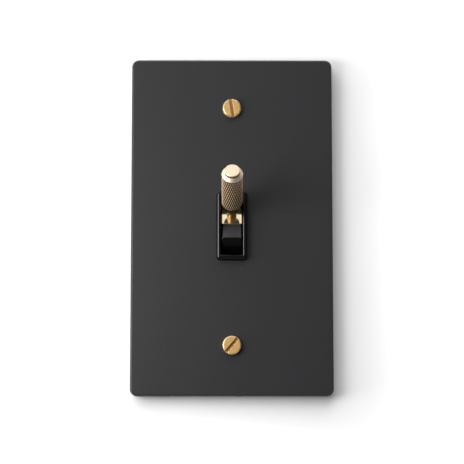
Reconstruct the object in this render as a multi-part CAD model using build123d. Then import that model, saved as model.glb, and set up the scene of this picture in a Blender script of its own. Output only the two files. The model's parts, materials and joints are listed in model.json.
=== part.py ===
from build123d import *
import math
import os

# Four-way toggle switch on a metal face plate, millimetres and degrees.
# +Z is up, +Y goes into the wall, -X is left as seen from the room.
# The origin is the middle of the wall plane behind the face plate.

# Face plate
plate_width = 70.5
plate_height = 118.4
plate_depth = 4.0           # wall to front face
plate_face = 1.6            # front wall
plate_rim = 2.4             # wall round the hollow back
plate_corner_radius = 2.4
plate_edge = 0.6
pillar_diameter = 9.0

# Plate screws, which pass the strap and go on into the wall box
screw_spacing = 83.34
screw_diameter = 3.5        # over the thread, which starts at the wall plane
screw_neck_diameter = 2.9   # plain neck through plate and strap
screw_reach = 22.0          # behind the wall plane
screw_head_diameter = 6.5
screw_head_height = 1.7
screw_head_edge = 0.35
screw_slot_width = 1.1
screw_slot_depth = 0.9
upper_slot_turn = 10.0      # from upright, anticlockwise as seen from the room
lower_slot_turn = -40.0

# Collar round the lever
collar_width = 10.3
collar_height = 23.8
collar_side_wall = 1.35
collar_end_wall = 1.6
collar_proud = 2.3          # beyond the face plate
collar_corner_radius = 1.0
collar_edge_radius = 0.7    # outer front edge
collar_inner_radius = 0.5   # front edge of the opening

# Lever
throw_angle = 28.0          # to each side of level
pivot_depth = 7.5           # pivot axis behind the plate's front face
lever_radius = 11.1
lever_seat = 6.8            # pivot axis to the flat front that carries the handle
lever_face_radius = 0.8     # ends of the flat front
lever_edge = 0.3
trunnion_diameter = 3.2
trunnion_length = 2.6
bar_inner = 3.6             # drive bar, from the pivot axis
bar_outer = 7.0
bar_height = 5.6
bar_end_margin = 1.0        # bar past each rocker's tongue
drive_radius = 5.0          # pivot axis to the tongue's tip, lever level
flare_start = 6.0           # where the drive notch starts to widen
flare_angle = 50.0
lever_back = 2.4            # pivot axis to the flat back of the drum
nose_reach = 9.5
nose_tip_radius = 0.9
nose_root_height = 4.4
nose_width = 4.6

# Handle, lengths along its own axis
base_plate_height = 6.8
base_plate_thickness = 1.0
base_plate_corner = 0.5
neck_diameter = 3.3
neck_length = 4.2
taper_small_diameter = 5.4
taper_length = 3.9
knurl_diameter = 7.25
knurl_length = 15.8
knurl_depth = 0.32
knurl_pitch_round = 0.79
knurl_pitch_along = 2.77
knurl_step = 0.04           # taper below the bottom of the knurl
land_step = 0.02            # land above the tips of the knurl
land_length = 0.25
shoulder_diameter = 5.4
shoulder_length = 0.95
button_diameter = 5.3
button_length = 1.15
button_edge = 0.2
stud_diameter = 3.0
stud_length = 4.5

# Switch body
body_width = 34.0
body_height = 56.0
body_corner_radius = 1.6
body_back_edge = 1.0
cover_depth = 9.0
cover_face = 2.0
side_wall = 4.4             # outside to chamber, with the terminal wells sunk in it
end_wall = 6.5
back_wall = 2.5
bearing_width = 2.6
bearing_height = 5.2
bearing_back = 0.3          # bearing cheeks past the trunnion

# Mounting strap
strap_thickness = 1.2
strap_width = 16.0
strap_margin = 3.8          # strap's ends inside the plate's rim
ear_width = 24.0
ear_length = 15.0
ear_corner = 3.0
strap_slot_length = 6.4
cover_hole_spacing = 60.3   # tapped holes for a plain toggle cover
cover_hole_diameter = 3.0
tab_height = 9.0
tab_reach = 9.0
tab_margin = 3.0            # tab clear of the body

# Rivets through strap, cover and base
rivet_inset = 3.0           # from the body's ends
rivet_diameter = 3.2
rivet_head_diameter = 5.2
rivet_crown_diameter = 3.4
rivet_head_height = 0.9

# Rockers
rocker_width = 5.0
rocker_thickness = 1.2
tongue_length = 11.0        # rocker pivot to the tongue's tip
tongue_thickness = 1.0
tongue_width = 3.0
hub_diameter = 3.8
pin_diameter = 1.9
contact_arm = 8.5           # rocker pivot to the middle of a contact
arm_end = 1.9               # arm past the middle of its contact
contact_side = 3.0
contact_height = 0.7
contact_dome_radius = 3.0
fixed_contact_height = 0.6

# Terminal strips
strip_thickness = 0.8
strip_width = 5.0
link_width = 4.0
joggle_start = 6.7          # from the crossing, along the link
insulator_thickness = 0.5
insulator_margin = 1.0      # insulator clear of the ribs beside it
ear_gap = 0.3               # between a pivot ear and the rocker
pivot_ear_height = 4.4
pivot_ear_lip = 1.3         # ear past the pin
strip_leg_width = 1.7
terminal_height = 7.0
terminal_margin = 1.0       # terminals clear of the chamber's ends
terminal_front = 13.5
terminal_neck = 4.8
terminal_screw_depth = 17.0
well_height = 9.4
well_front = 12.0
well_back_wall = 2.0

# Terminal and earth screws
terminal_screw_diameter = 3.8
terminal_head_diameter = 7.0
terminal_head_height = 2.0
terminal_slot_width = 1.2
terminal_slot_depth = 1.1
terminal_screw_length = 5.0

# Detent spring, a bent leaf
spring_width = 6.0
spring_thickness = 0.35
spring_bump = 0.5
spring_foot_drop = 3.0      # from the valley back to the feet
spring_lip = 2.0
post_spacing = 25.2
post_height = 2.4
post_width = 7.0

# Clearances
collar_gap = 0.15           # collar in strap and plate
swing_gap = 0.3             # lever beside the collar, and parts that pass
bearing_gap = 0.05          # turning fits
screw_gap = 0.2             # screws and rivets in plain holes
drive_gap = 0.4             # tongue in the drive notch
contact_gap = 0.05          # closed contacts
seat_gap = 0.1              # strips in the slots of the base

# Places worked out from those sizes
plate_front = -plate_depth
collar_front = plate_front - collar_proud
opening_width = collar_width - 2 * collar_side_wall
opening_height = collar_height - 2 * collar_end_wall
pivot_y = plate_front + pivot_depth
lever_width = opening_width - 2 * swing_gap
base_plate_width = lever_width
fulcrum_y = pivot_y + drive_radius + tongue_length
lever_to_fulcrum = drive_radius + tongue_length
rocker_angle = math.degrees(
    math.asin(lever_to_fulcrum / tongue_length * math.sin(math.radians(throw_angle)))
) - throw_angle
chamber_half_width = body_width / 2 - side_wall
chamber_half_height = body_height / 2 - end_wall
rivet_z = body_height / 2 - rivet_inset
strap_half_length = plate_height / 2 - plate_rim - strap_margin
tab_middle = -body_height / 2 - tab_margin - tab_height / 2

# Where a tilted rocker's dome meets its fixed contact
dome_middle = rocker_thickness / 2 + contact_height - contact_dome_radius
rocker_sine = math.sin(math.radians(rocker_angle))
rocker_cosine = math.cos(math.radians(rocker_angle))
contact_face = (
    fulcrum_y + dome_middle * rocker_cosine + contact_arm * rocker_sine
    + contact_dome_radius + contact_gap
)
fixed_contact_z = contact_arm * rocker_cosine - dome_middle * rocker_sine

# Layers behind the contacts: front strip, insulator, rear strip, back wall
front_strip = contact_face + fixed_contact_height
front_strip_back = front_strip + strip_thickness
rear_strip = front_strip_back + insulator_thickness
chamber_back = rear_strip + strip_thickness
body_back = chamber_back + back_wall

# Input strips lie just behind the rockers' hubs
input_strip = fulcrum_y + hub_diameter / 2 + ear_gap
input_strip_back = input_strip + strip_thickness
outer_ear = chamber_half_width - seat_gap - strip_leg_width
rocker_offset = outer_ear - ear_gap - rocker_width / 2
inner_ear = rocker_offset - rocker_width / 2 - ear_gap

# Terminal plates lie on the floors of the wells
terminal_seat = body_width / 2 - terminal_head_height - strip_thickness
terminal_face = terminal_seat + strip_thickness
terminal_z = chamber_half_height - terminal_margin - terminal_height / 2

# The lever's nose at rest, and the leaf that it presses
nose_middle = nose_reach - nose_tip_radius
valley_z = nose_middle * math.sin(math.radians(throw_angle))
valley_y = (
    pivot_y + nose_middle * math.cos(math.radians(throw_angle)) + nose_tip_radius + contact_gap
)
post_front = valley_y + spring_foot_drop

lever_place = Pos(0, pivot_y, 0) * Rot(-throw_angle, 0, 0)
handle_place = Pos(0, pivot_y, 0) * Rot(90 - throw_angle, 0, 0)


# A block given by the places of its faces
def block(x_from, x_to, y_from, y_to, z_from, z_to):
    middle = Pos((x_from + x_to) / 2, (y_from + y_to) / 2, (z_from + z_to) / 2)
    return middle * Box(abs(x_to - x_from), abs(y_to - y_from), abs(z_to - z_from))


# A block centred on the Y axis with its upright corners rounded
def rounded_block(width, height, y_from, y_to, radius):
    solid = block(-width / 2, width / 2, y_from, y_to, -height / 2, height / 2)
    return fillet(solid.edges().filter_by(Axis.Y), radius)


# A round bar along Y
def bar_y(x, z, diameter, y_from, y_to):
    return Pos(x, (y_from + y_to) / 2, z) * Rot(90, 0, 0) * Cylinder(diameter / 2, y_to - y_from)


# A round bar along X
def bar_x(y, z, diameter, x_from, x_to):
    return Pos((x_from + x_to) / 2, y, z) * Rot(0, 90, 0) * Cylinder(diameter / 2, abs(x_to - x_from))


# An outline of (y, z) points, given a width along X
def slab_x(points, x_from, x_to):
    face = make_face(Polyline(*[(x_from, y, z) for y, z in points], close=True))
    return extrude(face, amount=x_to - x_from, dir=(1, 0, 0))


# An upright slot across a screw's head, whose seat is at the origin and whose top is towards -Y
def head_slot(head_diameter, head_height, width, depth):
    return block(-width / 2, width / 2, -head_height, depth - head_height, -head_diameter, head_diameter)


# A square block at one of the four places where a rocker closes
def contact_block(side, end, y_from, y_to):
    x = side * rocker_offset
    z = end * fixed_contact_z
    half_side = contact_side / 2
    return block(x - half_side, x + half_side, y_from, y_to, z - half_side, z + half_side)


def make_face_plate():
    plate = rounded_block(plate_width, plate_height, plate_front, 0, plate_corner_radius)
    plate = chamfer(plate.faces().sort_by(Axis.Y)[0].edges(), plate_edge)
    inner_corner = max(plate_corner_radius - plate_rim, plate_edge)
    plate -= rounded_block(plate_width - 2 * plate_rim, plate_height - 2 * plate_rim,
                           plate_front + plate_face, 0, inner_corner)
    plate -= rounded_block(collar_width + 2 * collar_gap, collar_height + 2 * collar_gap,
                           plate_front, plate_front + plate_face, collar_corner_radius + collar_gap)
    for z in (-screw_spacing / 2, screw_spacing / 2):
        plate += bar_y(0, z, pillar_diameter, plate_front + plate_face, -strap_thickness)
        plate -= bar_y(0, z, screw_diameter + 2 * screw_gap, plate_front, -strap_thickness)
    return plate


def make_plate_screws():
    screw = bar_y(0, 0, screw_head_diameter, -screw_head_height, 0)
    screw = chamfer(screw.faces().sort_by(Axis.Y)[0].edges(), screw_head_edge)
    screw -= head_slot(screw_head_diameter, screw_head_height, screw_slot_width, screw_slot_depth)
    screw += bar_y(0, 0, screw_neck_diameter, 0, plate_depth)
    screw += bar_y(0, 0, screw_diameter, plate_depth, plate_depth + screw_reach)
    upper = Pos(0, plate_front, screw_spacing / 2) * Rot(0, -upper_slot_turn, 0) * screw
    lower = Pos(0, plate_front, -screw_spacing / 2) * Rot(0, -lower_slot_turn, 0) * screw
    return Compound(children=[upper, lower])


# Diamond knurl along Z: pyramids between two crossing sets of grooves, one row half a pitch on from
# the next. Even lattice points are groove crossings and odd ones are the diamonds' tips.
def make_knurl(z_from):
    round_count = round(math.pi * knurl_diameter / knurl_pitch_round)
    row_count = round(knurl_length / knurl_pitch_along)
    last = 2 * row_count

    def lattice(turn, level):
        radius = knurl_diameter / 2 - (knurl_depth if (turn + level) % 2 == 0 else 0)
        angle = math.pi * turn / round_count
        height = z_from + knurl_length * level / last
        return (radius * math.cos(angle), radius * math.sin(angle), height)

    faces = []
    for level in range(last + 1):
        for turn in range(1 - level % 2, 2 * round_count, 2):
            around = [(turn, level - 1), (turn + 1, level), (turn, level + 1), (turn - 1, level)]
            for first, second in zip(around, around[1:] + around[:1]):
                if 0 <= min(first[1], second[1]) and max(first[1], second[1]) <= last:
                    corners = [lattice(turn, level), lattice(*first), lattice(*second)]
                    faces.append(Face(Wire.make_polygon(corners)))
    for level in (0, last):
        ends = [lattice(turn, level) for turn in range(2 * round_count)]
        faces.append(Face(Wire.make_polygon(ends)))
    return Solid(Shell(faces))


# The handle stands on the brass plate and turns about Z here, with its stud below the plate
def make_knurled_handle():
    plate_top = lever_seat + base_plate_thickness
    taper_start = plate_top + neck_length
    knurl_start = taper_start + taper_length
    land_start = knurl_start + knurl_length
    shoulder_start = land_start + land_length
    button_start = shoulder_start + shoulder_length
    button_end = button_start + button_length
    taper_radius = knurl_diameter / 2 - knurl_depth - knurl_step
    land_radius = knurl_diameter / 2 + land_step

    lower = Polyline(
        (0, lever_seat - stud_length),
        (stud_diameter / 2, lever_seat - stud_length),
        (stud_diameter / 2, plate_top),
        (neck_diameter / 2, plate_top),
        (neck_diameter / 2, taper_start),
        (taper_small_diameter / 2, taper_start),
        (taper_radius, knurl_start),
        (0, knurl_start),
        close=True,
    )
    upper = Polyline(
        (0, land_start),
        (land_radius, land_start),
        (land_radius, shoulder_start),
        (shoulder_diameter / 2, button_start),
        (button_diameter / 2, button_start),
        (button_diameter / 2, button_end - button_edge),
        (button_diameter / 2 - button_edge, button_end),
        (0, button_end),
        close=True,
    )
    turned = [revolve(Plane.XZ * make_face(outline), Axis.Z) for outline in (lower, upper)]
    return handle_place * (make_knurl(knurl_start) + turned[0] + turned[1])


def make_handle_base_plate():
    plate = rounded_block(base_plate_width, base_plate_height,
                          -lever_seat - base_plate_thickness, -lever_seat, base_plate_corner)
    plate -= bar_y(0, 0, stud_diameter + 2 * bearing_gap, -lever_seat - base_plate_thickness, -lever_seat)
    return lever_place * plate


# The lever is drawn level, with its pivot axis on X, and then thrown up
def make_toggle_lever():
    half_width = lever_width / 2
    drum = bar_x(0, 0, 2 * lever_radius, -half_width, half_width)
    drum -= block(-half_width, half_width, -lever_radius, -lever_seat, -lever_radius, lever_radius)
    drum -= block(-half_width, half_width, lever_back, lever_radius, -lever_radius, lever_radius)
    drum = fillet(drum.edges().filter_by(Axis.X).sort_by(Axis.Y)[:2], lever_face_radius)
    sides = drum.faces().sort_by(Axis.X)
    drum = chamfer(sides[0].edges() + sides[-1].edges(), lever_edge)

    bar_end = rocker_offset + tongue_width / 2 + bar_end_margin
    bar = block(-bar_end, bar_end, bar_inner, bar_outer, -bar_height / 2, bar_height / 2)
    bar += block(-half_width, half_width, 0, bar_outer, -bar_height / 2, bar_height / 2)
    nose = slab_x([(bar_inner, -nose_root_height / 2), (nose_middle, -nose_tip_radius),
                   (nose_middle, nose_tip_radius), (bar_inner, nose_root_height / 2)],
                  -nose_width / 2, nose_width / 2)
    nose += bar_x(nose_middle, 0, 2 * nose_tip_radius, -nose_width / 2, nose_width / 2)
    trunnion_end = half_width + trunnion_length
    lever = drum + bar + nose + bar_x(0, 0, trunnion_diameter, -trunnion_end, trunnion_end)

    # A notch that widens to the rear at each end of the bar takes a rocker's tongue
    notch_half = tongue_thickness / 2 + drive_gap
    notch_root = drive_radius - tongue_thickness / 2 - swing_gap
    mouth_half = notch_half + (bar_outer - flare_start) * math.tan(math.radians(flare_angle))
    notch = [(notch_root, -notch_half), (flare_start, -notch_half), (bar_outer, -mouth_half),
             (bar_outer, mouth_half), (flare_start, notch_half), (notch_root, notch_half)]
    notch_inner = rocker_offset - tongue_width / 2 - bar_end_margin
    lever -= slab_x(notch, notch_inner, bar_end)
    lever -= slab_x(notch, -bar_end, -notch_inner)
    lever -= bar_y(0, 0, stud_diameter + 2 * bearing_gap, -lever_seat, stud_length - lever_seat)
    return lever_place * lever


def make_switch_cover():
    cover = rounded_block(body_width, body_height, 0, cover_depth, body_corner_radius)
    cover -= block(-chamber_half_width, chamber_half_width, cover_face, cover_depth,
                   -chamber_half_height, chamber_half_height)
    collar = rounded_block(collar_width, collar_height, collar_front, 0, collar_corner_radius)
    collar = fillet(collar.faces().sort_by(Axis.Y)[0].edges(), collar_edge_radius)
    cover += collar

    # Bearing cheeks beside the opening, with half-round seats open to the rear
    bearing_from = opening_width / 2
    bearing_to = bearing_from + bearing_width
    bearing_end = pivot_y + trunnion_diameter / 2 + bearing_back
    seat_radius = trunnion_diameter / 2 + bearing_gap
    for side in (-1, 1):
        cheek = block(side * bearing_from, side * bearing_to, cover_face, bearing_end,
                      -bearing_height / 2, bearing_height / 2)
        cover += cheek
    cover -= bar_x(pivot_y, 0, 2 * seat_radius, -bearing_to, bearing_to)
    cover -= block(-bearing_to, bearing_to, pivot_y, bearing_end, -seat_radius, seat_radius)
    cover -= block(-opening_width / 2, opening_width / 2, collar_front, bearing_end,
                   -opening_height / 2, opening_height / 2)
    cover -= bar_x(pivot_y, 0, 2 * (lever_radius + swing_gap), -opening_width / 2, opening_width / 2)
    opening_edges = cover.faces().sort_by(Axis.Y)[0].inner_wires()[0].edges()
    cover = fillet(opening_edges, collar_inner_radius)
    for z in (-rivet_z, rivet_z):
        cover -= bar_y(0, z, rivet_diameter + 2 * screw_gap, 0, cover_depth)
    return cover


def make_switch_base():
    base = rounded_block(body_width, body_height, cover_depth, body_back, body_corner_radius)
    base = chamfer(base.faces().sort_by(Axis.Y)[-1].edges(), body_back_edge)
    base -= block(-chamber_half_width, chamber_half_width, cover_depth, chamber_back,
                  -chamber_half_height, chamber_half_height)

    # A well in each side for every terminal, with a window for the strip's neck
    half_width = body_width / 2
    neck_half = terminal_neck / 2 + seat_gap
    for side in (-1, 1):
        for end, strip_back in ((-1, input_strip_back), (1, front_strip_back)):
            z = end * terminal_z
            base -= block(side * terminal_seat, side * half_width, well_front, body_back - well_back_wall,
                          z - well_height / 2, z + well_height / 2)
            base -= block(side * chamber_half_width, side * terminal_seat, cover_depth, strip_back,
                          z - neck_half, z + neck_half)

    # Seats for the strips on the chamber's back wall
    strip_from = rocker_offset - strip_width / 2
    pivot_half = pivot_ear_height / 2
    for side in (-1, 1):
        for end in (-1, 1):
            base += contact_block(side, end, front_strip_back, chamber_back)
        base += block(side * strip_from, side * chamber_half_width, front_strip_back, chamber_back,
                      terminal_z - terminal_neck / 2, terminal_z + terminal_neck / 2)
        base += block(side * outer_ear, side * chamber_half_width, input_strip_back, chamber_back,
                      -terminal_z - terminal_neck / 2, pivot_half)
        base += block(side * strip_from, side * chamber_half_width, input_strip_back, chamber_back,
                      -pivot_half, pivot_half)

    # Two posts carry the feet of the detent spring
    for end in (-1, 1):
        middle = end * post_spacing / 2
        base += block(-post_width / 2, post_width / 2, post_front, chamber_back,
                      middle - post_height / 2, middle + post_height / 2)
    for z in (-rivet_z, rivet_z):
        base -= bar_y(0, z, rivet_diameter + 2 * screw_gap, cover_depth, body_back)
    return base


def make_mounting_strap():
    strap = block(-strap_width / 2, strap_width / 2, -strap_thickness, 0,
                  -strap_half_length, strap_half_length)
    for end in (-1, 1):
        ear = block(-ear_width / 2, ear_width / 2, -strap_thickness, 0,
                    end * (strap_half_length - ear_length), end * strap_half_length)
        strap += chamfer(ear.edges().filter_by(Axis.Y), ear_corner)

    # The earth tab leaves the strap's left edge and turns back into the wall box
    edge = -strap_width / 2
    strap += block(edge, edge + strap_thickness, -strap_thickness, tab_reach,
                   tab_middle - tab_height / 2, tab_middle + tab_height / 2)
    strap -= bar_x(tab_reach / 2, tab_middle, terminal_screw_diameter + 2 * bearing_gap,
                   edge, edge + strap_thickness)

    opening_half = collar_width / 2 + collar_gap
    opening_end = collar_height / 2 + collar_gap
    strap -= block(-opening_half, opening_half, -strap_thickness, 0, -opening_end, opening_end)
    slot_width = screw_diameter + 2 * screw_gap
    slot_run = (strap_slot_length - slot_width) / 2
    for end in (-1, 1):
        z = end * screw_spacing / 2
        strap -= block(-slot_run, slot_run, -strap_thickness, 0, z - slot_width / 2, z + slot_width / 2)
        for side in (-1, 1):
            strap -= bar_y(side * slot_run, z, slot_width, -strap_thickness, 0)
        strap -= bar_y(0, end * cover_hole_spacing / 2, cover_hole_diameter, -strap_thickness, 0)
        strap -= bar_y(0, end * rivet_z, rivet_diameter + 2 * screw_gap, -strap_thickness, 0)
    return strap


def make_strap_rivets():
    rivets = []
    for z in (-rivet_z, rivet_z):
        rivet = bar_y(0, z, rivet_diameter, -strap_thickness, body_back)
        head = Cone(rivet_head_diameter / 2, rivet_crown_diameter / 2, rivet_head_height)
        rivet += Pos(0, -strap_thickness - rivet_head_height / 2, z) * Rot(90, 0, 0) * head
        rivet += Pos(0, body_back + rivet_head_height / 2, z) * Rot(-90, 0, 0) * head
        rivets.append(rivet)
    return Compound(children=rivets)


# A rocker is drawn level about its own pivot, with its tongue towards -Y
def make_rocker(side):
    half_width = rocker_width / 2
    half_thickness = rocker_thickness / 2
    arm_half = contact_arm + arm_end
    tongue_half = tongue_width / 2
    tip = -tongue_length
    rocker = block(-half_width, half_width, -half_thickness, half_thickness, -arm_half, arm_half)
    rocker += bar_x(0, 0, hub_diameter, -half_width, half_width)
    rocker += block(-tongue_half, tongue_half, tip, 0, -tongue_thickness / 2, tongue_thickness / 2)
    rocker += bar_x(tip, 0, tongue_thickness, -tongue_half, tongue_half)
    rocker -= bar_x(0, 0, pin_diameter + 2 * bearing_gap, -half_width, half_width)
    return rocker_place(side) * rocker


def rocker_place(side):
    return Pos(side * rocker_offset, fulcrum_y, 0) * Rot(rocker_angle, 0, 0)


# Two silver bars with rounded backs, one at each end of a rocker
def make_rocker_contacts(side):
    half_side = contact_side / 2
    back = rocker_thickness / 2
    bars = []
    for end in (-1, 1):
        z = end * contact_arm
        bar = bar_x(dome_middle, z, 2 * contact_dome_radius, -half_side, half_side)
        bar &= block(-half_side, half_side, back, back + contact_height, z - half_side, z + half_side)
        bars.append(rocker_place(side) * bar)
    return Compound(children=bars)


def make_rocker_pins():
    pins = []
    for side in (-1, 1):
        pins.append(bar_x(fulcrum_y, 0, pin_diameter, side * (inner_ear - strip_thickness),
                          side * (outer_ear + strip_thickness)))
    return Compound(children=pins)


# An input strip has two pivot ears, a leg down the chamber and a plate in the lower well
def make_input_terminal(side):
    pivot_half = pivot_ear_height / 2
    ear_front = fulcrum_y - pin_diameter / 2 - pivot_ear_lip
    ear_end = outer_ear + strip_thickness
    z_low = -terminal_z - terminal_neck / 2
    strip = block(side * (inner_ear - strip_thickness), side * ear_end, input_strip, input_strip_back,
                  -pivot_half, pivot_half)
    for x_from in (inner_ear - strip_thickness, outer_ear):
        strip += block(side * x_from, side * (x_from + strip_thickness), ear_front, input_strip_back,
                       -pivot_half, pivot_half)
    strip += block(side * outer_ear, side * (outer_ear + strip_leg_width), input_strip, input_strip_back,
                   z_low, pivot_half)
    strip += block(side * outer_ear, side * terminal_face, input_strip, input_strip_back,
                   z_low, -terminal_z + terminal_neck / 2)
    strip -= bar_x(fulcrum_y, 0, pin_diameter + 2 * bearing_gap,
                   side * (inner_ear - strip_thickness), side * ear_end)
    return strip + make_terminal_plate(side, -terminal_z, input_strip_back)


# The plate that a wire is clamped to, on the floor of its well
def make_terminal_plate(side, z, strip_back):
    plate = block(side * terminal_seat, side * terminal_face, terminal_front, strip_back,
                  z - terminal_height / 2, z + terminal_height / 2)
    return plate - bar_x(terminal_screw_depth, z, terminal_screw_diameter + 2 * bearing_gap,
                         side * terminal_seat, side * terminal_face)


# An output strip joins the upper contact on its own side to the lower one on the other side. The left
# one runs straight across, and the right one steps back to pass behind it.
def make_output_terminal(side, steps_back):
    x = side * rocker_offset
    strip = block(x - strip_width / 2, x + strip_width / 2, front_strip, front_strip_back,
                  fixed_contact_z, terminal_z + terminal_neck / 2)
    strip += block(x, side * terminal_face, front_strip, front_strip_back,
                   terminal_z - terminal_neck / 2, terminal_z + terminal_neck / 2)
    for end in (-1, 1):
        strip += bar_y(end * x, end * fixed_contact_z, strip_width, front_strip, front_strip_back)
    half_link = math.hypot(rocker_offset, fixed_contact_z)
    if steps_back:
        inner = joggle_start
        outer = joggle_start + strip_thickness
        outline = [(front_strip, -half_link), (front_strip, -inner), (rear_strip, -inner),
                   (rear_strip, inner), (front_strip, inner), (front_strip, half_link),
                   (front_strip_back, half_link), (front_strip_back, outer), (chamber_back, outer),
                   (chamber_back, -outer), (front_strip_back, -outer), (front_strip_back, -half_link)]
    else:
        outline = [(front_strip, -half_link), (front_strip, half_link),
                   (front_strip_back, half_link), (front_strip_back, -half_link)]
    link = slab_x(outline, -link_width / 2, link_width / 2)
    lean = math.degrees(math.atan2(rocker_offset, fixed_contact_z))
    strip += Rot(0, side * lean, 0) * link
    return strip + make_terminal_plate(side, terminal_z, front_strip_back)


# Flat silver blocks where the rockers close
def make_output_contacts(side):
    return Compound(children=[contact_block(end * side, end, contact_face, front_strip) for end in (-1, 1)])


def make_crossover_insulator():
    half_side = rocker_offset - strip_width / 2 - insulator_margin
    return block(-half_side, half_side, front_strip_back, rear_strip, -half_side, half_side)


# A slotted screw for a wire, with its head's seat at the origin
def make_wire_screw():
    screw = bar_y(0, 0, terminal_head_diameter, -terminal_head_height, 0)
    screw -= head_slot(
        terminal_head_diameter, terminal_head_height, terminal_slot_width, terminal_slot_depth
    )
    return screw + bar_y(0, 0, terminal_screw_diameter, 0, terminal_screw_length)


# Two terminal screws, one in each side of the body
def make_terminal_screws(z):
    screws = []
    for side in (-1, 1):
        place = Pos(side * terminal_face, terminal_screw_depth, z) * Rot(0, 0, side * 90)
        screws.append(place * make_wire_screw())
    return Compound(children=screws)


def make_ground_screw():
    return Pos(-strap_width / 2, tab_reach / 2, tab_middle) * Rot(0, 0, -90) * make_wire_screw()


# The leaf's outline: feet on the posts, valleys that hold the nose, and a bump between them
def make_detent_spring():
    foot_z = post_spacing / 2 + post_height / 2 + seat_gap
    front = [(valley_y - spring_bump, 0), (valley_y, valley_z),
             (post_front - spring_thickness, post_spacing / 2 - post_height / 2),
             (post_front - spring_thickness, foot_z + spring_thickness),
             (post_front + spring_lip, foot_z + spring_thickness)]
    back = [(post_front + spring_lip, foot_z), (post_front, foot_z),
            (post_front, post_spacing / 2 - post_height / 2),
            (valley_y + spring_thickness, valley_z), (valley_y - spring_bump + spring_thickness, 0)]
    upper = front + back
    half = slab_x(upper, -spring_width / 2, spring_width / 2)
    return half + mirror(half, Plane.XY)


pieces = {
    "face_plate": make_face_plate(),
    "plate_screws": make_plate_screws(),
    "knurled_handle": make_knurled_handle(),
    "handle_base_plate": make_handle_base_plate(),
    "toggle_lever": make_toggle_lever(),
    "switch_cover": make_switch_cover(),
    "switch_base": make_switch_base(),
    "mounting_strap": make_mounting_strap(),
    "strap_rivets": make_strap_rivets(),
    "detent_spring": make_detent_spring(),
    "left_rocker": make_rocker(-1),
    "right_rocker": make_rocker(1),
    "left_rocker_contacts": make_rocker_contacts(-1),
    "right_rocker_contacts": make_rocker_contacts(1),
    "rocker_pins": make_rocker_pins(),
    "left_input_terminal": make_input_terminal(-1),
    "right_input_terminal": make_input_terminal(1),
    "left_output_terminal": make_output_terminal(-1, False),
    "right_output_terminal": make_output_terminal(1, True),
    "left_output_contacts": make_output_contacts(-1),
    "right_output_contacts": make_output_contacts(1),
    "crossover_insulator": make_crossover_insulator(),
    "input_terminal_screws": make_terminal_screws(-terminal_z),
    "output_terminal_screws": make_terminal_screws(terminal_z),
    "ground_screw": make_ground_screw(),
}

os.makedirs("parts", exist_ok=True)
for name, piece in pieces.items():
    export_step(piece, f"parts/{name}.step")
print(f"{len(pieces)} pieces, pivot at y {pivot_y:.3f}, rocker pivots at y {fulcrum_y:.3f},"
      f" rocker angle {rocker_angle:.3f}")
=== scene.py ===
import bmesh
import bpy
import json
import math
from mathutils import Matrix, Vector


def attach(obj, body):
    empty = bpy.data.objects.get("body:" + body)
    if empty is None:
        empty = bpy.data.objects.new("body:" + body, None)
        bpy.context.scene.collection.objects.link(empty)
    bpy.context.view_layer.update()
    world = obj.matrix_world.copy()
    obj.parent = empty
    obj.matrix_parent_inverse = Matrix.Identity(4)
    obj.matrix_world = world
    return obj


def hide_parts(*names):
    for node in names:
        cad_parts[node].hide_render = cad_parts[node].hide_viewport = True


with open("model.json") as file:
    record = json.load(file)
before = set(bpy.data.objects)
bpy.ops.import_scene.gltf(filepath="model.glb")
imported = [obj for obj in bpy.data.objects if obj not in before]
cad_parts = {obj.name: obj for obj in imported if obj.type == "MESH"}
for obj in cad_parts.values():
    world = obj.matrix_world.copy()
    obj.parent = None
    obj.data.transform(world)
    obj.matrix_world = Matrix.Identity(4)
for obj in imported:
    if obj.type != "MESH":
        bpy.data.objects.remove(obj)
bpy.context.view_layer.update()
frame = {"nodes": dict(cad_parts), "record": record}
nodes = frame["nodes"]
record = frame["record"]
bodyOf = {node: body for body, members in record["behaviour"]["bodies"].items() for node in members}
slotOf = {part["node"]: part["material_slot"] for part in record["subparts"]}
scene = bpy.context.scene
scene.view_settings.view_transform = "Standard"
mm = 0.001
print("frame loaded,", len(nodes), "nodes")


# sRGB hex to the linear colour that a shader socket takes
def hexColour(code):
    channels = [int(code[i:i + 2], 16) / 255 for i in (1, 3, 5)]
    return [c / 12.92 if c <= 0.04045 else ((c + 0.055) / 1.055) ** 2.4 for c in channels] + [1.0]


# adds a node: settings are its properties, inputs are values or sockets to link from
def addNode(tree, kind, inputs, **settings):
    node = tree.nodes.new(kind)
    for name, value in settings.items():
        setattr(node, name, value)
    for name, value in inputs.items():
        if isinstance(value, bpy.types.NodeSocket):
            tree.links.new(value, node.inputs[name])
        else:
            node.inputs[name].default_value = value
    return node


# pattern scale, in cells for each metre, from the size of one cell in millimetres
def cellsOf(size):
    return 1 / (size * mm)


# an empty material and its node tree
def startMaterial(name):
    material = bpy.data.materials.new(name)
    material.use_nodes = True
    material.node_tree.nodes.clear()
    return material, material.node_tree


# ends a finish: one pattern spreads the roughness, one gives the bump, and settings go straight in
# rougher is a mask, 0 to 1, for the share of the finish's knurlRoughness that is added
def endFinish(tree, finish, colour, glossPattern, bumpPattern, settings, rougher=None):
    roughness = addNode(tree, "ShaderNodeMapRange", {
        "Value": glossPattern,
        "To Min": finish["roughness"] - finish["spread"],
        "To Max": finish["roughness"] + finish["spread"],
    }).outputs[0]
    if rougher is not None:
        roughness = addNode(tree, "ShaderNodeMath", {
            0: rougher, 1: finish["knurlRoughness"], 2: roughness}, operation="MULTIPLY_ADD").outputs[0]
    bump = addNode(tree, "ShaderNodeBump", {
        "Height": bumpPattern, "Strength": finish["bumpStrength"], "Distance": finish["bumpDepth"] * mm})
    surface = addNode(tree, "ShaderNodeBsdfPrincipled", {
        "Base Color": colour, "Roughness": roughness, "Normal": bump.outputs[0], **settings})
    addNode(tree, "ShaderNodeOutputMaterial", {"Surface": surface.outputs[0]})


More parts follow.
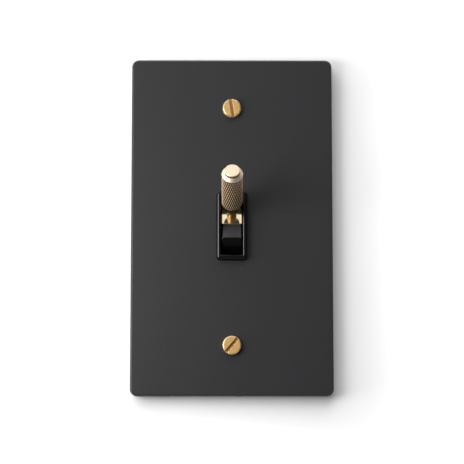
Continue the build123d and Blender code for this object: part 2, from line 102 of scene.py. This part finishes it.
# powder coat on steel: satin black, a fine even grain, a few pale specks of pigment
powderCoat = {"dark": "#1f1f20", "light": "#28282a", "grain": 0.35, "grainDetail": 3.0, "grainFineness": 0.6,
              "speck": "#5a5954", "speckSpacing": 6.0, "speckRadius": 0.24, "speckCore": 0.10,
              "speckShare": 0.45, "roughness": 0.48, "spread": 0.05, "bumpDepth": 0.010, "bumpStrength": 0.35,
              "ior": 1.5}


def makePowderCoat():
    finish = powderCoat
    material, tree = startMaterial("satin powder-coated steel")
    place = addNode(tree, "ShaderNodeTexCoord", {}).outputs["Object"]
    grain = addNode(tree, "ShaderNodeTexNoise", {
        "Vector": place, "Scale": cellsOf(finish["grain"]), "Detail": finish["grainDetail"],
        "Roughness": finish["grainFineness"]}).outputs["Fac"]
    tone = addNode(tree, "ShaderNodeMix", {
        "Factor": grain, "A": hexColour(finish["dark"]), "B": hexColour(finish["light"])}, data_type="RGBA")
    specks = addNode(tree, "ShaderNodeTexVoronoi", {
        "Vector": place, "Scale": cellsOf(finish["speckSpacing"])})
    isSpeck = addNode(tree, "ShaderNodeMapRange", {
        "Value": specks.outputs["Distance"],
        "From Min": finish["speckRadius"] / finish["speckSpacing"],
        "From Max": finish["speckCore"] / finish["speckSpacing"],
        "To Max": finish["speckShare"]})
    colour = addNode(tree, "ShaderNodeMix", {
        "Factor": isSpeck.outputs[0], "A": tone.outputs["Result"],
        "B": hexColour(finish["speck"])}, data_type="RGBA")
    endFinish(tree, finish, colour.outputs["Result"], grain, grain, {"IOR": finish["ior"]})
    return material


# clean metal with duller patches, from where the patches' pattern passes dullFrom
def patchyColour(tree, place, finish):
    patches = addNode(tree, "ShaderNodeTexNoise", {
        "Vector": place, "Scale": cellsOf(finish["patch"]), "Detail": finish["patchDetail"]})
    dulled = addNode(tree, "ShaderNodeMapRange", {
        "Value": patches.outputs["Fac"], "From Min": finish["dullFrom"], "From Max": finish["dullTo"],
        "To Max": finish["dullShare"]})
    return addNode(tree, "ShaderNodeMix", {
        "Factor": dulled.outputs[0], "A": hexColour(finish["clean"]),
        "B": hexColour(finish["dull"])}, data_type="RGBA").outputs["Result"]


# knurled handle, measured along and from its own axis: the diamonds' points are worn flat and the
# turned edges are broken
handle = {"knurlFrom": 15.85, "knurlTo": 31.75, "knurlMargin": 0.1, "tipRadius": 3.625, "tipFlat": 0.16,
          "landRadius": 3.645, "landEdge": 0.15, "landSteps": 4, "turnedEdge": 0.07, "turnedSteps": 2,
          "stepRadius": 2.65, "footMargin": 0.06, "smoothTo": 24}

# what all turned brass shares: faint rings round the axis, and duller patches
turnedPattern = {"ringDetail": 2.0, "patchDetail": 4.0, "dullFrom": 0.5, "dullTo": 0.8, "dullShare": 0.7,
                 "spread": 0.05, "bumpStrength": 0.25}
# satin brass of the handle's end and knurl: soft cream under a lacquer haze
# the knurl is warmer and rougher still, and its grooves are painted dark brown, a painted shade in the
# grooves
turnedBrass = {"clean": "#f0dec4", "dull": "#e4ca9c", "ringPitch": 0.11, "patch": 2.4, "roughness": 0.52,
               "metal": 0.82, "bumpDepth": 0.002, "grooveShade": "#24150a", "grooveShadeInside": 3.43,
               "grooveShadeOutside": 3.47, "knurlTone": "#fddfbc", "knurlRoughness": 0.15}
# brass of the handle's foot: polished, so it goes dark where it faces dark
polishedTurning = {"clean": "#bd9a60", "dull": "#8d6d3e", "ringPitch": 0.11, "patch": 2.4,
                   "roughness": 0.20, "metal": 1.0, "bumpDepth": 0.002}
# brass of the step under the end button: painted dark brown, a painted shade in the corner under the button,
# so it reads as a dark line
shadedStepTurning = {"clean": "#6b4f2c", "dull": "#4a3418", "ringPitch": 0.11, "patch": 2.4,
                  "roughness": 0.40, "metal": 1.0, "bumpDepth": 0.002}
# brass of the screws: duller and more yellow than the handle, with more haze
screwBrass = {"clean": "#dfb673", "dull": "#c99d60", "ringPitch": 0.14, "patch": 1.8, "roughness": 0.34,
              "metal": 0.50, "bumpDepth": 0.004}
# brass of the edge round each screw head: painted bright cream beside the face, a painted highlight
highlightedEdgeBrass = {"clean": "#f4dcae", "dull": "#e8cb94", "ringPitch": 0.14, "patch": 1.8, "roughness": 0.32,
            "metal": 0.85, "bumpDepth": 0.002}


def makeTurnedBrass(name, ownFinish, placeOnAxis):
    finish = {**turnedPattern, **ownFinish}
    material, tree = startMaterial(name)
    place = addNode(tree, "ShaderNodeTexCoord", {}).outputs["Object"]
    parts = addNode(tree, "ShaderNodeSeparateXYZ", {"Vector": placeOnAxis(tree, place)}).outputs
    flat = addNode(tree, "ShaderNodeCombineXYZ", {"X": parts["X"], "Y": parts["Y"]})
    radius = addNode(tree, "ShaderNodeVectorMath", {0: flat.outputs[0]}, operation="LENGTH").outputs["Value"]
    ringPlace = addNode(tree, "ShaderNodeCombineXYZ", {"X": radius, "Z": parts["Z"]})
    rings = addNode(tree, "ShaderNodeTexNoise", {
        "Vector": ringPlace.outputs[0], "Scale": cellsOf(finish["ringPitch"]),
        "Detail": finish["ringDetail"]}).outputs["Fac"]
    colour = patchyColour(tree, place, finish)
    inKnurl = None
    if "grooveShade" in finish:
        knurlMiddle = (handle["knurlFrom"] + handle["knurlTo"]) / 2
        knurlHalf = (handle["knurlTo"] - handle["knurlFrom"]) / 2
        inKnurl = addNode(tree, "ShaderNodeMath", {
            0: parts["Z"], 1: knurlMiddle * mm, 2: knurlHalf * mm}, operation="COMPARE").outputs[0]
        # painted shade: deep in the knurl's grooves the colour goes dark brown
        deep = addNode(tree, "ShaderNodeMapRange", {
            "Value": radius, "From Min": finish["grooveShadeOutside"] * mm, "From Max": finish["grooveShadeInside"] * mm})
        grooveShade = addNode(tree, "ShaderNodeMath", {0: inKnurl, 1: deep.outputs[0]}, operation="MULTIPLY")
        for share, tone in ((inKnurl, finish["knurlTone"]), (grooveShade.outputs[0], finish["grooveShade"])):
            colour = addNode(tree, "ShaderNodeMix", {
                "Factor": share, "A": colour, "B": hexColour(tone)}, data_type="RGBA").outputs["Result"]
    endFinish(tree, finish, colour, rings, rings, {"Metallic": finish["metal"]}, inKnurl)
    return material


# places seen from the handle: its axis becomes Z; at rest it stands half the throw above level
hinge = next(joint for joint in record["behaviour"]["joints"] if joint["name"] == "toggle_hinge")
lean = 90 - hinge["range_deg"][1] / 2
fromHandle = Matrix.Translation(hinge["pos_m"]) @ Matrix.Rotation(math.radians(lean), 4, "X")
toHandle = fromHandle.inverted()


def onHandleAxis(tree, place):
    return addNode(tree, "ShaderNodeMapping", {
        "Vector": place, "Location": toHandle.to_translation(), "Rotation": toHandle.to_euler()}).outputs[0]


# places seen from the nearer of the two plate screws: its axis becomes Z
boxScrews = next(mount for mount in record["mounts"] if mount["name"] == "box_screws")
screwUp = boxScrews["dims"]["spacing_y_mm"] / 2


def onScrewAxis(tree, place):
    parts = addNode(tree, "ShaderNodeSeparateXYZ", {"Vector": place}).outputs
    height = addNode(tree, "ShaderNodeMath", {0: parts["Z"]}, operation="ABSOLUTE")
    offset = addNode(tree, "ShaderNodeMath", {0: height.outputs[0], 1: screwUp * mm}, operation="SUBTRACT")
    return addNode(tree, "ShaderNodeCombineXYZ", {
        "X": parts["X"], "Y": offset.outputs[0], "Z": parts["Y"]}).outputs[0]


# metals with a grain, drawn, stamped, plated or polished, and what they share
# grainSize gives the pattern's cell along X, Y and Z, so that a long cell reads as a brushed line
metalPattern = {"grainDetail": 3.0, "patch": 5.0, "patchDetail": 4.0, "dullFrom": 0.4, "dullTo": 0.75,
                "dullShare": 1.0, "bumpStrength": 0.3}
metals = {
    "polished brass plate": {"clean": "#fbebcd", "dull": "#f0daae", "grainSize": (0.9, 0.9, 0.12),
                             "roughness": 0.10, "spread": 0.04, "metal": 0.95, "bumpDepth": 0.001},
    "stamped terminal brass": {"clean": "#dcb566", "dull": "#b98f47", "grainSize": (0.2, 0.2, 2.0),
                               "roughness": 0.34, "spread": 0.10, "metal": 1.0, "bumpDepth": 0.004},
    "zinc-plated steel": {"clean": "#c3c7cb", "dull": "#9aa0a6", "grainSize": (0.16, 0.16, 2.6),
                          "roughness": 0.36, "spread": 0.10, "metal": 1.0, "bumpDepth": 0.004},
    "blued spring steel": {"clean": "#8d9098", "dull": "#5f636c", "grainSize": (0.12, 0.6, 0.6),
                           "roughness": 0.28, "spread": 0.08, "metal": 1.0, "bumpDepth": 0.002},
    "silver contact metal": {"clean": "#e9e7e1", "dull": "#bfbab0", "grainSize": (0.3, 0.3, 0.3),
                             "roughness": 0.30, "spread": 0.10, "metal": 1.0, "bumpDepth": 0.003},
}


def makeMetal(name):
    finish = {**metalPattern, **metals[name]}
    material, tree = startMaterial(name)
    place = addNode(tree, "ShaderNodeTexCoord", {}).outputs["Object"]
    grainPlace = addNode(tree, "ShaderNodeMapping", {
        "Vector": place, "Scale": [cellsOf(size) for size in finish["grainSize"]]})
    grain = addNode(tree, "ShaderNodeTexNoise", {
        "Vector": grainPlace.outputs[0], "Scale": 1.0, "Detail": finish["grainDetail"]}).outputs["Fac"]
    colour = patchyColour(tree, place, finish)
    endFinish(tree, finish, colour, grain, grain, {"Metallic": finish["metal"]})
    return material


# moulded, painted or dulled finishes, and what they share: one body colour, a fine skin and slow changes
# of gloss
coatPattern = {"skinDetail": 3.0, "slow": 7.0, "slowDetail": 2.0, "bumpStrength": 0.3}
coats = {
    "gloss moulded phenolic": {"dark": "#070708", "light": "#0b0b0c", "skin": 0.5, "roughness": 0.18,
                               "spread": 0.03, "bumpDepth": 0.002, "ior": 1.5},
    # painted sheen: a lighter grey than the gloss phenolic, for the light that the lever's flat front catches
    "rough phenolic with painted sheen": {"dark": "#232324", "light": "#2d2d31", "skin": 0.18, "roughness": 0.50,
                                "spread": 0.05, "bumpDepth": 0.010, "ior": 1.5},
    "sawn brass slot": {"dark": "#9c7147", "light": "#ba8b5c", "skin": 0.15, "roughness": 0.45,
                        "spread": 0.08, "bumpDepth": 0.006, "ior": 1.5},
    "matt moulded phenolic": {"dark": "#151413", "light": "#221f1c", "skin": 0.28, "roughness": 0.52,
                              "spread": 0.08, "bumpDepth": 0.012, "ior": 1.5},
    "vulcanised fibre sheet": {"dark": "#5d2419", "light": "#7c382a", "skin": 0.22, "roughness": 0.62,
                               "spread": 0.08, "bumpDepth": 0.015, "ior": 1.5},
    "black oxide screw steel": {"dark": "#17181a", "light": "#26282b", "skin": 0.25, "roughness": 0.36,
                                "spread": 0.08, "bumpDepth": 0.004, "ior": 1.8},
    "green lacquered screw steel": {"dark": "#0f5a2c", "light": "#1a7a3e", "skin": 0.3, "roughness": 0.28,
                                    "spread": 0.06, "bumpDepth": 0.004, "ior": 1.5},
}


def makeCoat(name):
    finish = {**coatPattern, **coats[name]}
    material, tree = startMaterial(name)
    place = addNode(tree, "ShaderNodeTexCoord", {}).outputs["Object"]
    skin = addNode(tree, "ShaderNodeTexNoise", {
        "Vector": place, "Scale": cellsOf(finish["skin"]), "Detail": finish["skinDetail"]}).outputs["Fac"]
    slow = addNode(tree, "ShaderNodeTexNoise", {
        "Vector": place, "Scale": cellsOf(finish["slow"]), "Detail": finish["slowDetail"]}).outputs["Fac"]
    colour = addNode(tree, "ShaderNodeMix", {
        "Factor": skin, "A": hexColour(finish["dark"]), "B": hexColour(finish["light"])}, data_type="RGBA")
    endFinish(tree, finish, colour.outputs["Result"], slow, skin, {"IOR": finish["ior"]})
    return material


finishes = {
    "satin_black_metal": makePowderCoat(),
    "turned_brass": makeTurnedBrass("lathe-turned brass", turnedBrass, onHandleAxis),
    "screw_brass": makeTurnedBrass("satin screw brass", screwBrass, onScrewAxis),
    "polished_brass": makeMetal("polished brass plate"),
    "terminal_brass": makeMetal("stamped terminal brass"),
    "zinc_plated_steel": makeMetal("zinc-plated steel"),
    "spring_steel": makeMetal("blued spring steel"),
    "contact_silver": makeMetal("silver contact metal"),
    "black_gloss_plastic": makeCoat("gloss moulded phenolic"),
    "black_matte_plastic": makeCoat("matt moulded phenolic"),
    "fibre_sheet": makeCoat("vulcanised fibre sheet"),
    "dark_screw_steel": makeCoat("black oxide screw steel"),
    "green_screw_steel": makeCoat("green lacquered screw steel"),
}
print("materials made:", len(finishes))

# how near, in millimetres, points count as the same, and how far, in degrees, faces turn at an edge
meshing = {"cutWithin": 0.0001, "mergeWithin": 0.001, "sameWithin": 0.01, "flatWithin": 0.5,
           "sharpFrom": 25, "smoothTo": 32}


# a merged copy of a node's mesh, with flat faces joined again
def mergedCopy(node, joinFlat=True):
    mesh = bmesh.new()
    mesh.from_mesh(nodes[node].data)
    bmesh.ops.remove_doubles(mesh, verts=mesh.verts, dist=meshing["mergeWithin"] * mm)
    if joinFlat:
        bmesh.ops.dissolve_limit(mesh, angle_limit=math.radians(meshing["flatWithin"]), verts=mesh.verts,
                                 edges=mesh.edges, use_dissolve_boundaries=False)
    return mesh


# breaks the sharp edges that pass a test, as a tumbled or moulded edge is broken
def breakEdges(mesh, width, steps, test=lambda edge: True):
    sharpFrom = math.radians(meshing["sharpFrom"])
    sharp = [edge for edge in mesh.edges
             if len(edge.link_faces) == 2 and edge.calc_face_angle() > sharpFrom and test(edge)]
    bmesh.ops.bevel(mesh, geom=sharp, offset=width * mm, offset_type="OFFSET", affect="EDGES",
                    segments=steps, profile=0.5, material=-1, clamp_overlap=True)


# turns a bmesh into an object at the origin, with its materials in order
def addObject(mesh, name, materials):
    data = bpy.data.meshes.new(name)
    mesh.to_mesh(data)
    mesh.free()
    for material in materials:
        data.materials.append(material)
    piece = bpy.data.objects.new(name, data)
    scene.collection.objects.link(piece)
    return piece


# turns a bmesh into a piece that stands for its node and rides on the node's body
def finishPiece(mesh, name, node, smoothTo=meshing["smoothTo"], extraFinishes=()):
    piece = addObject(mesh, name, (finishes[slotOf[node]], *extraFinishes))
    for face in piece.data.polygons:
        face.use_smooth = True
    piece.data.set_sharp_from_angle(angle=math.radians(smoothTo))
    weighted = piece.modifiers.new("evenShading", "WEIGHTED_NORMAL")
    weighted.keep_sharp = True
    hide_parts(node)
    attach(piece, bodyOf[node])


# broken edge of each piece, in millimetres, and how many steps round it
softEdges = {
    "face_plate": (0.22, 3),
    "handle_base_plate": (0.12, 3),
    "switch_cover": (0.16, 3),
    "switch_base": (0.30, 3),
    "mounting_strap": (0.14, 2),
    "strap_rivets": (0.40, 4),
    "detent_spring": (0.08, 2),
    "left_rocker": (0.10, 2),
    "right_rocker": (0.10, 2),
    "left_rocker_contacts": (0.12, 2),
    "right_rocker_contacts": (0.12, 2),
    "rocker_pins": (0.15, 2),
    "left_input_terminal": (0.10, 2),
    "right_input_terminal": (0.10, 2),
    "left_output_terminal": (0.10, 2),
    "right_output_terminal": (0.10, 2),
    "left_output_contacts": (0.12, 2),
    "right_output_contacts": (0.12, 2),
    "crossover_insulator": (0.06, 2),
    "input_terminal_screws": (0.22, 3),
    "output_terminal_screws": (0.22, 3),
    "ground_screw": (0.22, 3),
}
for node, (width, steps) in softEdges.items():
    mesh = mergedCopy(node)
    breakEdges(mesh, width, steps)
    finishPiece(mesh, "soft_" + node, node)
print("pieces with broken edges:", len(softEdges))

# lever: gloss all round, with a fine moulded texture on the flat front that carries the handle; that front is
# also painted lighter grey, a painted sheen
lever = {"edge": 0.26, "edgeSteps": 3, "seat": 6.8}


def makeLever():
    mesh = mergedCopy("toggle_lever")
    breakEdges(mesh, lever["edge"], lever["edgeSteps"])
    # the flat front takes the rougher finish with its painted sheen
    for face in mesh.faces:
        height = (toHandle @ face.calc_center_median()).z / mm
        if abs(height - lever["seat"]) < meshing["sameWithin"]:
            face.material_index = 1
    sheenedFront = makeCoat("rough phenolic with painted sheen")
    finishPiece(mesh, "textured_toggle_lever", "toggle_lever", extraFinishes=[sheenedFront])


makeLever()
print("lever made")


# the handle, by its dictionary beside the turned brass
def makeHandle():
    mesh = mergedCopy("knurled_handle", joinFlat=False)

    def radiusOf(vert):
        local = toHandle @ vert.co
        return math.hypot(local.x, local.y) / mm

    def heightOf(vert):
        return (toHandle @ vert.co).z / mm

    def isTip(vert):
        atTip = abs(radiusOf(vert) - handle["tipRadius"]) < meshing["sameWithin"]
        return atTip and heightOf(vert) < handle["knurlTo"] - handle["knurlMargin"]

    def onLand(edge):
        return all(heightOf(vert) > handle["knurlTo"]
                   and radiusOf(vert) > handle["landRadius"] - meshing["sameWithin"] for vert in edge.verts)

    def onTurnedRing(edge):
        first, last = edge.verts
        inKnurl = any(handle["knurlFrom"] < heightOf(vert) < handle["knurlTo"] for vert in edge.verts)
        return not inKnurl and abs(radiusOf(first) - radiusOf(last)) < meshing["sameWithin"]

    bmesh.ops.bevel(mesh, geom=[vert for vert in mesh.verts if isTip(vert)], offset=handle["tipFlat"] * mm,
                    offset_type="OFFSET", affect="VERTICES", segments=1, profile=0.5, material=-1,
                    clamp_overlap=True)
    breakEdges(mesh, handle["landEdge"], handle["landSteps"], onLand)
    breakEdges(mesh, handle["turnedEdge"], handle["turnedSteps"], onTurnedRing)
    # the foot gets polished brass, and the step under the end button the painted shade
    for face in mesh.faces:
        heights = [heightOf(vert) for vert in face.verts]
        onStep = all(abs(radiusOf(vert) - handle["stepRadius"]) < meshing["sameWithin"]
                     for vert in face.verts)
        if max(heights) < handle["knurlFrom"] + handle["footMargin"]:
            face.material_index = 1
        elif min(heights) > handle["knurlTo"] and onStep:
            face.material_index = 2
    polished = makeTurnedBrass("polished turned brass", polishedTurning, onHandleAxis)
    shadedStep = makeTurnedBrass("painted shade step brass", shadedStepTurning, onHandleAxis)
    finishPiece(mesh, "knurled_brass_handle", "knurled_handle", handle["smoothTo"], [polished, shadedStep])


makeHandle()
print("handle made")

# plate screws: heads from the frame, necks and rolled threads of their own
# sink is how far a piece of the shank starts inside what carries it
plateScrew = {"seatY": -4.0, "wallY": 0.0, "tipY": 22.0, "headTail": 0.2, "headEdge": 0.10, "headSteps": 3,
              "slotFrom": -5.56, "slotTo": -4.7, "slotReach": 3.0,
              "edgeFrom": -5.69, "edgeTo": -5.30, "edgeReach": 2.80,
              "neckRadius": 1.45, "neckPastWall": 0.3, "coreRadius": 1.38, "sink": 0.1, "sides": 36,
              "endEdge": 0.2, "endSteps": 2, "crestRadius": 1.74, "crestFlat": 0.10, "rootFlat": 0.62,
              "pitch": 0.794, "turnSteps": 28, "threadPastWall": 0.5, "plainEnds": 1.4}


def makePlateScrews():
    size = plateScrew
    mesh = mergedCopy("plate_screws")
    cut = bmesh.ops.bisect_plane(mesh, geom=mesh.verts[:] + mesh.edges[:] + mesh.faces[:],
                                 dist=meshing["cutWithin"] * mm, plane_no=(0, 1, 0), clear_outer=True,
                                 plane_co=(0, (size["seatY"] + size["headTail"]) * mm, 0))
    openEdges = [item for item in cut["geom_cut"] if isinstance(item, bmesh.types.BMEdge)]
    bmesh.ops.edgeloop_fill(mesh, edges=openEdges)
    breakEdges(mesh, size["headEdge"], size["headSteps"])
    for face in mesh.faces:  # floor and walls of the sawn slots, and the edge round the head, which gets the painted highlight
        middle = face.calc_center_median() / mm
        fromAxis = math.hypot(middle.x, abs(middle.z) - screwUp)
        if size["slotFrom"] < middle.y < size["slotTo"] and fromAxis < size["slotReach"]:
            face.material_index = 1
        elif size["edgeFrom"] < middle.y < size["edgeTo"] and fromAxis > size["edgeReach"]:
            face.material_index = 2

    rods = ((size["neckRadius"], size["seatY"] + size["sink"], size["wallY"] + size["neckPastWall"]),
            (size["coreRadius"], size["wallY"] + size["sink"], size["tipY"]))
    rootRadius = size["coreRadius"] - size["sink"]
    ridge = ((rootRadius, -size["rootFlat"] / 2), (size["crestRadius"], -size["crestFlat"] / 2),
             (size["crestRadius"], size["crestFlat"] / 2), (rootRadius, size["rootFlat"] / 2))
    ridgeY = size["wallY"] + size["threadPastWall"]
    turns = int((size["tipY"] - size["wallY"] - size["plainEnds"]) / size["pitch"])
    alongY = Matrix.Rotation(math.radians(90), 4, "X")
    for z in (-screwUp, screwUp):
        for radius, yFrom, yTo in rods:
            place = Matrix.Translation((0, (yFrom + yTo) / 2 * mm, z * mm)) @ alongY
            rod = bmesh.ops.create_cone(mesh, cap_ends=True, segments=size["sides"], radius1=radius * mm,
                                        radius2=radius * mm, depth=(yTo - yFrom) * mm, matrix=place)
            rodEdges = {edge for vert in rod["verts"] for edge in vert.link_edges}
            breakEdges(mesh, size["endEdge"], size["endSteps"], lambda edge: edge in rodEdges)
        section = mesh.faces.new([mesh.verts.new((radius * mm, (ridgeY + along) * mm, z * mm))
                                  for radius, along in ridge])
        bmesh.ops.spin(mesh, geom=[section], cent=(0, 0, z * mm), axis=(0, 1, 0), angle=math.tau * turns,
                       dvec=(0, size["pitch"] / size["turnSteps"] * mm, 0),
                       steps=turns * size["turnSteps"], use_merge=False)
    bmesh.ops.recalc_face_normals(mesh, faces=mesh.faces)
    print("thread turns on each screw:", turns)
    sawn = makeCoat("sawn brass slot")
    highlightedEdge = makeTurnedBrass("painted highlight edge brass", highlightedEdgeBrass, onScrewAxis)
    finishPiece(mesh, "threaded_plate_screws", "plate_screws", extraFinishes=[sawn, highlightedEdge])


makePlateScrews()
print("plate screws made")


# 1 for rays that the eye follows, straight, in a reflection or through something clear, and 0 for light
def seenByEye(tree):
    rays = addNode(tree, "ShaderNodeLightPath", {}).outputs
    shiny = addNode(tree, "ShaderNodeMath", {
        0: rays["Is Camera Ray"], 1: rays["Is Glossy Ray"]}, operation="MAXIMUM")
    return addNode(tree, "ShaderNodeMath", {
        0: shiny.outputs[0], 1: rays["Is Transmission Ray"]}, operation="MAXIMUM").outputs[0]


# a piece of the studio, which some kinds of ray pass by
def addStagePiece(mesh, name, material, hiddenFrom):
    piece = addObject(mesh, name, [material])
    for rays in hiddenFrom:
        setattr(piece, "visible_" + rays, False)


# wall with an opening behind the plate, in metres; gain is its tone for the eye
# past the object's shadow it gets a glow that keeps it white far from the lamps: the glow grows with the
# distance from a box, which sits low and to the right as the shadow does, and is full at glowFade from it
wall = {"y": 0.0004, "reach": 1.6, "openHalfWidth": 0.030, "openHalfHeight": 0.054, "colour": "#f4f4f4",
        "gain": 0.82, "glow": 0.30, "glowMiddle": (0.006, 0.0, -0.004), "glowHalf": (0.032, 0.0, 0.052),
        "glowFade": 0.034}
# floor well below: a pale sheet that glows for the eye, so that it stays pale far from the lamps and keeps
# a soft shadow
floor = {"z": -0.36, "reach": 3.0, "colour": "#ececea", "glow": 0.80}


# flat white paint, toned for the eye, and not there when seen from behind
def makeWallPaint():
    material, tree = startMaterial("flat white wall paint")
    place = addNode(tree, "ShaderNodeTexCoord", {}).outputs["Object"]
    paint = addNode(tree, "ShaderNodeBsdfDiffuse", {"Color": hexColour(wall["colour"])})
    toned = addNode(tree, "ShaderNodeBsdfDiffuse", {"Color": [wall["gain"]] * 3 + [1.0]})
    fromMiddle = addNode(tree, "ShaderNodeVectorMath", {
        0: place, 1: wall["glowMiddle"]}, operation="SUBTRACT")
    across = addNode(tree, "ShaderNodeVectorMath", {0: fromMiddle.outputs[0]}, operation="ABSOLUTE")
    beyond = addNode(tree, "ShaderNodeVectorMath", {
        0: across.outputs[0], 1: wall["glowHalf"]}, operation="SUBTRACT")
    outward = addNode(tree, "ShaderNodeVectorMath", {
        0: beyond.outputs[0], 1: (0, 0, 0)}, operation="MAXIMUM")
    fromBox = addNode(tree, "ShaderNodeVectorMath", {0: outward.outputs[0]}, operation="LENGTH")
    outside = addNode(tree, "ShaderNodeMapRange", {
        "Value": fromBox.outputs["Value"], "From Max": wall["glowFade"],
        "To Max": wall["glow"]}, interpolation_type="SMOOTHSTEP")
    glow = addNode(tree, "ShaderNodeEmission", {"Strength": outside.outputs[0]})
    backdrop = addNode(tree, "ShaderNodeAddShader", {0: toned.outputs[0], 1: glow.outputs[0]})
    seen = addNode(tree, "ShaderNodeMixShader", {
        "Fac": seenByEye(tree), 1: paint.outputs[0], 2: backdrop.outputs[0]})
    behind = addNode(tree, "ShaderNodeNewGeometry", {}).outputs["Backfacing"]
    clear = addNode(tree, "ShaderNodeBsdfTransparent", {})
    oneSided = addNode(tree, "ShaderNodeMixShader", {
        "Fac": behind, 1: seen.outputs[0], 2: clear.outputs[0]})
    addNode(tree, "ShaderNodeOutputMaterial", {"Surface": oneSided.outputs[0]})
    return material


def makeFloorPaint():
    material, tree = startMaterial("pale floor")
    paint = addNode(tree, "ShaderNodeBsdfDiffuse", {"Color": hexColour(floor["colour"])})
    glow = addNode(tree, "ShaderNodeEmission", {"Color": hexColour(floor["colour"])})
    share = addNode(tree, "ShaderNodeMath", {0: seenByEye(tree), 1: floor["glow"]}, operation="MULTIPLY")
    mixed = addNode(tree, "ShaderNodeMixShader", {
        "Fac": share.outputs[0], 1: paint.outputs[0], 2: glow.outputs[0]})
    addNode(tree, "ShaderNodeOutputMaterial", {"Surface": mixed.outputs[0]})
    return material


def makeStage():
    wallMesh = bmesh.new()
    bmesh.ops.create_grid(wallMesh, x_segments=3, y_segments=3, size=wall["reach"],
                          matrix=Matrix.Rotation(math.radians(90), 4, "X"))
    for vert in wallMesh.verts:  # the grid's inner lines go to the opening's sides
        if abs(vert.co.x) < wall["reach"] / 2:
            vert.co.x = math.copysign(wall["openHalfWidth"], vert.co.x)
        if abs(vert.co.z) < wall["reach"] / 2:
            vert.co.z = math.copysign(wall["openHalfHeight"], vert.co.z)
        vert.co.z = max(vert.co.z, floor["z"])
        vert.co.y = wall["y"]
    opening = min(wallMesh.faces, key=lambda face: face.calc_center_median().xz.length)
    bmesh.ops.delete(wallMesh, geom=[opening], context="FACES")
    floorMesh = bmesh.new()
    bmesh.ops.create_grid(floorMesh, x_segments=1, y_segments=1, size=floor["reach"],
                          matrix=Matrix.Translation((0, 0, floor["z"])))
    # neither throws light back on the object or its shadow
    addStagePiece(wallMesh, "studio_wall", makeWallPaint(), ["diffuse"])
    addStagePiece(floorMesh, "studio_floor", makeFloorPaint(), ["diffuse"])


makeStage()
print("wall and floor made")

# studio: a near key and a low light from the left, a broad light above, and two lights behind the wall
lamps = {
    "keyLeft": {"from": (-0.181, -0.160, -0.008), "size": 0.15, "watts": 0.47, "inGloss": True},
    "lowLeft": {"from": (-0.945, -0.133, -0.107), "size": 0.49, "watts": 7.9, "inGloss": False},
    "broadAbove": {"from": (-0.205, -0.419, 0.976), "size": 1.69, "watts": 25.7, "inGloss": False},
    "behindLeft": {"from": (-0.60, 0.80, 0.50), "size": 0.60, "watts": 9.0, "inGloss": True},
    "behindRight": {"from": (0.70, 0.70, 0.20), "size": 0.60, "watts": 6.0, "inGloss": True},
}
for name, lamp in lamps.items():
    light = bpy.data.lights.new(name, "AREA")
    light.shape = "DISK"
    light.size = lamp["size"]
    light.energy = lamp["watts"]
    holder = bpy.data.objects.new(name, light)
    holder.location = lamp["from"]
    holder.rotation_euler = Vector(lamp["from"]).to_track_quat("Z", "Y").to_euler()
    holder.visible_camera = False
    holder.visible_glossy = lamp["inGloss"]
    scene.collection.objects.link(holder)

# grey cards in front, to the right and below, which only reflections see, so that edges read dark there
cards = {
    "cardFront": {"middle": (0.32, -0.90, 0.16), "size": (1.30, 1.20), "level": "#5a5a5a"},
    "cardRight": {"middle": (0.75, -0.35, 0.10), "size": (0.90, 1.40), "level": "#3c3c3c"},
    "cardBelow": {"middle": (0.00, -0.20, -0.20), "size": (1.00, 0.36), "level": "#4a4a4a"},
}
for name, card in cards.items():
    middle = Vector(card["middle"])
    facing = middle.to_track_quat("Z", "Y").to_matrix().to_4x4()
    drawnOut = Matrix.Diagonal((*card["size"], 1, 1))
    sheetMesh = bmesh.new()
    bmesh.ops.create_grid(sheetMesh, x_segments=1, y_segments=1, size=0.5,  # a unit square, drawn out
                          matrix=Matrix.Translation(middle) @ facing @ drawnOut)
    cloth, tree = startMaterial(name + " cloth")
    grey = addNode(tree, "ShaderNodeEmission", {"Color": hexColour(card["level"])})
    addNode(tree, "ShaderNodeOutputMaterial", {"Surface": grey.outputs[0]})
    addStagePiece(sheetMesh, name, cloth, ["camera", "diffuse", "shadow", "transmission"])

# white all round for the eye and for reflections, a dimmer fill for matt surfaces
surround = {"colour": "#ffffff", "seen": 1.0, "fill": 0.18}
scene.world = bpy.data.worlds.new("white studio")
scene.world.use_nodes = True
tree = scene.world.node_tree
tree.nodes.clear()
white = hexColour(surround["colour"])
fill = addNode(tree, "ShaderNodeBackground", {"Color": white, "Strength": surround["fill"]})
seen = addNode(tree, "ShaderNodeBackground", {"Color": white, "Strength": surround["seen"]})
mixed = addNode(tree, "ShaderNodeMixShader", {
    "Fac": seenByEye(tree), 1: fill.outputs[0], 2: seen.outputs[0]})
addNode(tree, "ShaderNodeOutputWorld", {"Surface": mixed.outputs[0]})
print("studio lit")

# camera fitted to the plate's corners: a little below the plate's middle, looking slightly up
eye = {"pitch": -7.26, "yaw": 0.44, "distance": 600.0, "acrossShift": -0.05, "upShift": 2.10, "frontY": -4.0,
       "lens": 133.28, "sensor": 36.0, "clipStart": 0.01}
pitch = Matrix.Rotation(math.radians(eye["pitch"]), 3, "X")
turn = pitch @ Matrix.Rotation(math.radians(eye["yaw"]), 3, "Z")
spot = turn.transposed() @ Vector((eye["acrossShift"], eye["distance"], eye["upShift"])) * -1
spot.y += eye["frontY"]
cameraData = bpy.data.cameras.new("photoCamera")
cameraData.lens = eye["lens"]
cameraData.sensor_width = eye["sensor"]
cameraData.clip_start = eye["clipStart"]
camera = bpy.data.objects.new("photoCamera", cameraData)
right, forward, up = turn.row
camera.matrix_world = Matrix.Translation(spot * mm) @ Matrix((right, up, -forward)).transposed().to_4x4()
scene.collection.objects.link(camera)
scene.camera = camera
print("camera set")
